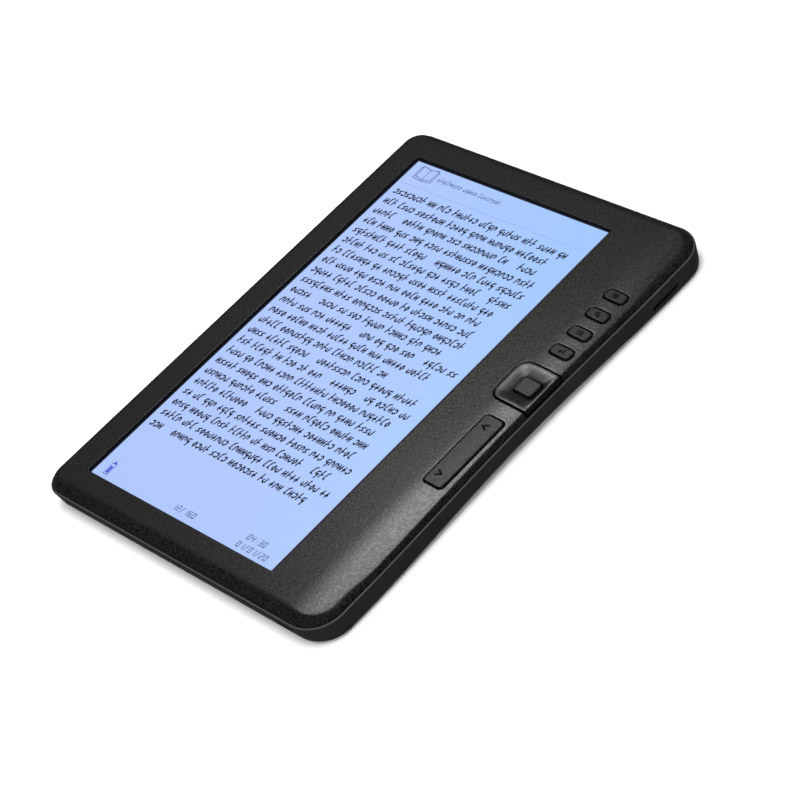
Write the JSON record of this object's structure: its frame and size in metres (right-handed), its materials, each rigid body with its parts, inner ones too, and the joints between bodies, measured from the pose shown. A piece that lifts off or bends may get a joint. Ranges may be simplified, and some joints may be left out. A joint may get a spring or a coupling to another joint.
{
  "type": "e-reader",
  "caption": "Slim portrait e-reader with a lit colour page behind a bezel window and a right-hand key strip: small keys, direction pad with select key and page rocker.",
  "frame": {"origin": "middle of the flat back face that the e-reader lies on", "axes": "+X to the reader's right, +Y to the top of the page, +Z out of the screen"},
  "size_m": [0.1304, 0.1786, 0.0114],
  "materials": {
    "bezel_plastic": "fine-grained charcoal black",
    "cover_plastic": "smooth near-black",
    "key_plastic": "satin black with pale printed symbols",
    "lit_page": "matte display face with a pale blue lit page",
    "lcd_glass": "dark display glass",
    "film": "white diffusing film",
    "light_guide": "clear acrylic",
    "led": "yellow phosphor lamps on a white strip",
    "steel": "stamped and plated",
    "black_screw": "black oxide",
    "flex": "amber polyimide",
    "foam": "black closed-cell foam",
    "rubber": "grey-black silicone",
    "board": "green solder mask on glass-fibre board",
    "chip": "black moulding compound",
    "coil": "dark ferrite",
    "socket_plastic": "cream nylon",
    "black_nylon": "black nylon",
    "pouch": "silver laminate pouch",
    "tape": "double-sided tape",
    "wire": "red lead"
  },
  "bodies": {
    "case": {"rear_cover": "cover_plastic", "front_bezel": "bezel_plastic", "case_screws": "black_screw", "window_gasket": "foam", "polariser": "lit_page", "lcd_glass": "lcd_glass", "optical_films": "film", "light_guide": "light_guide", "backlight_leds": "led", "lcd_tray": "steel", "lcd_flex": "flex", "rocker_saddle": "socket_plastic", "key_board": "board", "snap_domes": "steel", "key_board_screws": "steel", "key_flex": "flex", "main_board": "board", "board_screws": "steel", "processor": "chip", "memory_chip": "chip", "flash_chip": "chip", "power_coils": "coil", "crystal": "steel", "flex_sockets": "socket_plastic", "usb_socket": "steel", "card_socket": "steel", "headphone_jack": "black_nylon", "power_switch": "steel", "reset_switch": "steel", "battery": "pouch", "battery_tape": "tape", "battery_wires": "wire", "battery_plug": "socket_plastic"},
    "menu_key": {"menu_key": "key_plastic"},
    "zoom_key": {"zoom_key": "key_plastic"},
    "view_key": {"view_key": "key_plastic"},
    "back_key": {"back_key": "key_plastic"},
    "dpad_ring": {"dpad_ring": "key_plastic"},
    "select_key": {"select_key": "key_plastic"},
    "dpad_pivot": {"dpad_pivot": "rubber"},
    "page_rocker": {"page_rocker": "key_plastic"},
    "power_knob": {"power_knob": "black_nylon"},
    "reset_plunger": {"reset_plunger": "socket_plastic"}
  },
  "joints": [
    {"name": "menu_key_press", "type": "slide", "parent": "case", "child": "menu_key", "axis": [0, 0, -1], "range_m": [0, 0.0003], "stiffness_N_per_m": 400},
    {"name": "zoom_key_press", "type": "slide", "parent": "case", "child": "zoom_key", "axis": [0, 0, -1], "range_m": [0, 0.0003], "stiffness_N_per_m": 400},
    {"name": "view_key_press", "type": "slide", "parent": "case", "child": "view_key", "axis": [0, 0, -1], "range_m": [0, 0.0003], "stiffness_N_per_m": 400},
    {"name": "back_key_press", "type": "slide", "parent": "case", "child": "back_key", "axis": [0, 0, -1], "range_m": [0, 0.0003], "stiffness_N_per_m": 400},
    {"name": "select_key_press", "type": "slide", "parent": "case", "child": "select_key", "axis": [0, 0, -1], "range_m": [0, 0.0003], "stiffness_N_per_m": 400},
    {"name": "dpad_tilt_up_down", "type": "hinge", "parent": "case", "child": "dpad_pivot", "pos_m": [0.0568, 0.0126, 0.00725], "axis": [1, 0, 0], "range_deg": [-2, 2], "stiffness_Nm_per_rad": 0.06},
    {"name": "dpad_tilt_left_right", "type": "hinge", "parent": "dpad_pivot", "child": "dpad_ring", "pos_m": [0.0568, 0.0126, 0.0077], "axis": [0, 1, 0], "range_deg": [-2, 2], "stiffness_Nm_per_rad": 0.06},
    {"name": "page_rocker_tilt", "type": "hinge", "parent": "case", "child": "page_rocker", "pos_m": [0.0568, -0.01625, 0.0079], "axis": [1, 0, 0], "range_deg": [-1.2, 1.2], "stiffness_Nm_per_rad": 0.06},
    {"name": "power_knob_slide", "type": "slide", "parent": "case", "child": "power_knob", "axis": [1, 0, 0], "range_m": [0, 0.002]},
    {"name": "reset_press", "type": "slide", "parent": "case", "child": "reset_plunger", "axis": [0, 1, 0], "range_m": [0, 0.00025], "stiffness_N_per_m": 300}
  ]
}
